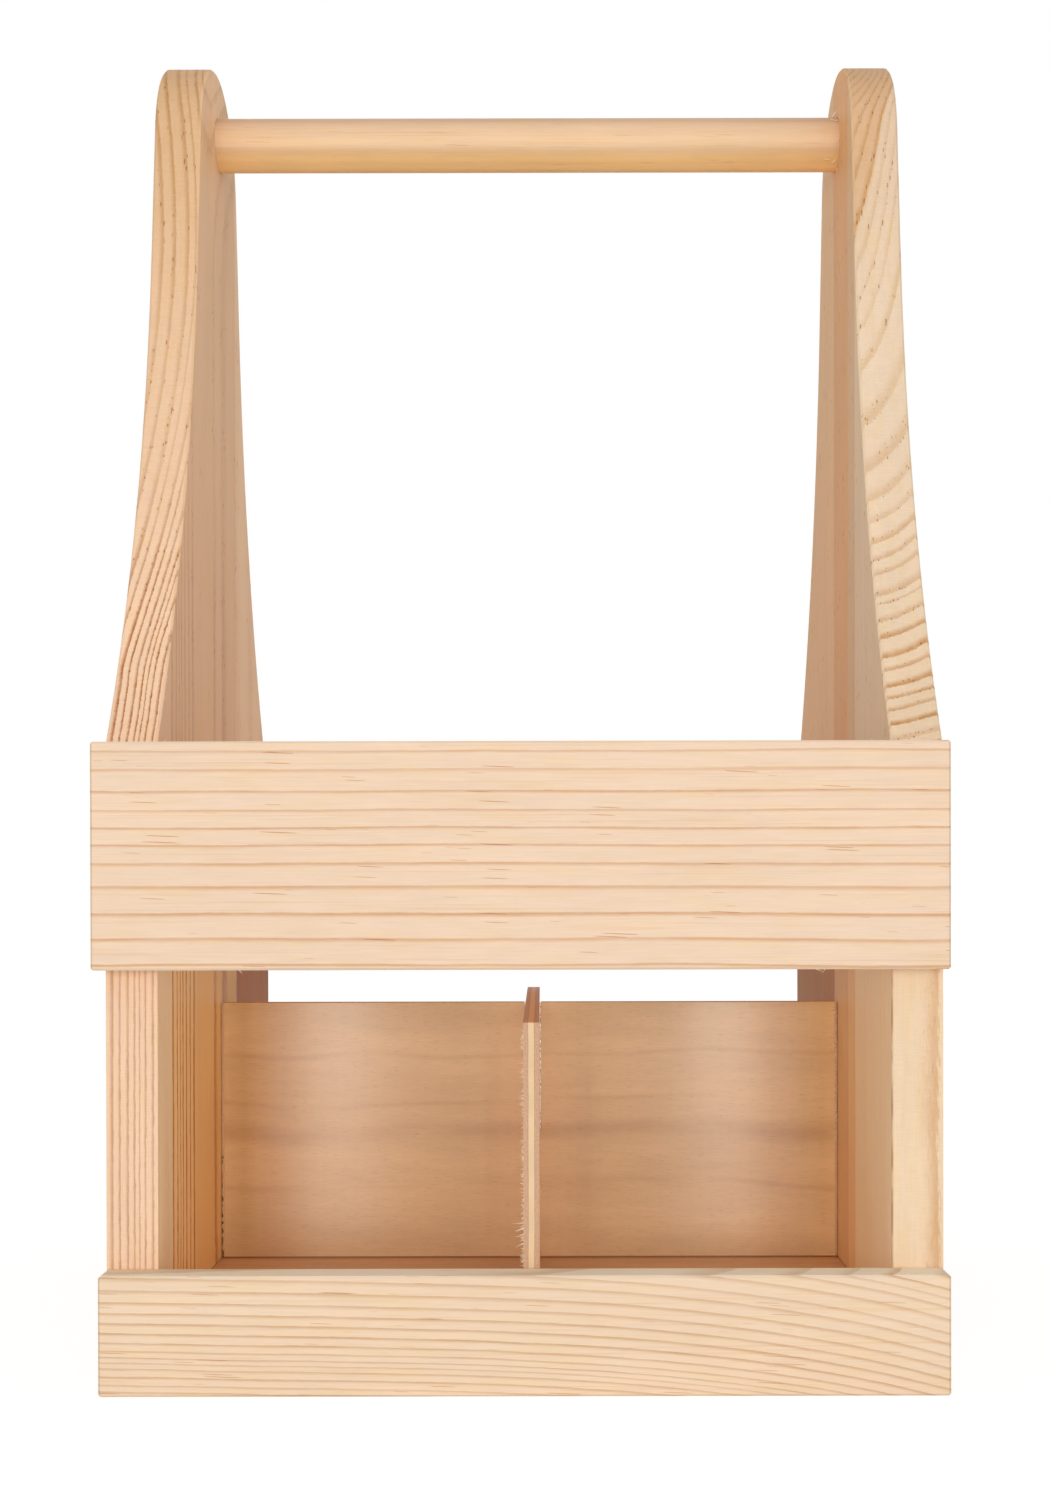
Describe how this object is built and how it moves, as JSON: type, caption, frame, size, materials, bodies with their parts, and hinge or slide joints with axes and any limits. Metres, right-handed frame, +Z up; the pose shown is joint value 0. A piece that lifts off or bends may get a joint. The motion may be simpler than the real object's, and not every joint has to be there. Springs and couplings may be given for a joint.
{
  "type": "bottle caddy",
  "caption": "Wooden bottle caddy with flared side panels, a round carrying handle, open slatted front and back, and a lift-out half-lapped divider grid.",
  "frame": {"origin": "on the ground under the middle of the caddy", "axes": "+Z up, +X to the right along the handle, front towards -Y"},
  "size_m": [0.1968, 0.188, 0.3392],
  "materials": {
    "pine_panel": "raw sanded pine",
    "pine_slat": "raw planed pine",
    "pine_handle": "raw turned pine",
    "plywood": "raw three-ply",
    "beech_pin": "raw beech",
    "zinc_steel": "zinc plated"
  },
  "bodies": {
    "carcass": {"left_side_panel": "pine_panel", "right_side_panel": "pine_panel", "handle_dowel": "pine_handle", "handle_screws": "zinc_steel", "front_upper_slat": "pine_slat", "back_upper_slat": "pine_slat", "front_lower_slat": "pine_slat", "back_lower_slat": "pine_slat", "front_upper_pins": "beech_pin", "back_upper_pins": "beech_pin", "front_lower_pins": "beech_pin", "back_lower_pins": "beech_pin", "floor_panel": "plywood"},
    "long_divider": {"long_divider": "plywood"},
    "cross_divider": {"cross_divider": "plywood"}
  },
  "joints": [
    {"name": "grid_lift", "type": "slide", "parent": "carcass", "child": "long_divider", "axis": [0, 0, 1], "range_m": [0, 0.14]},
    {"name": "cross_lift", "type": "slide", "parent": "long_divider", "child": "cross_divider", "axis": [0, 0, 1], "range_m": [0, 0.075]}
  ]
}
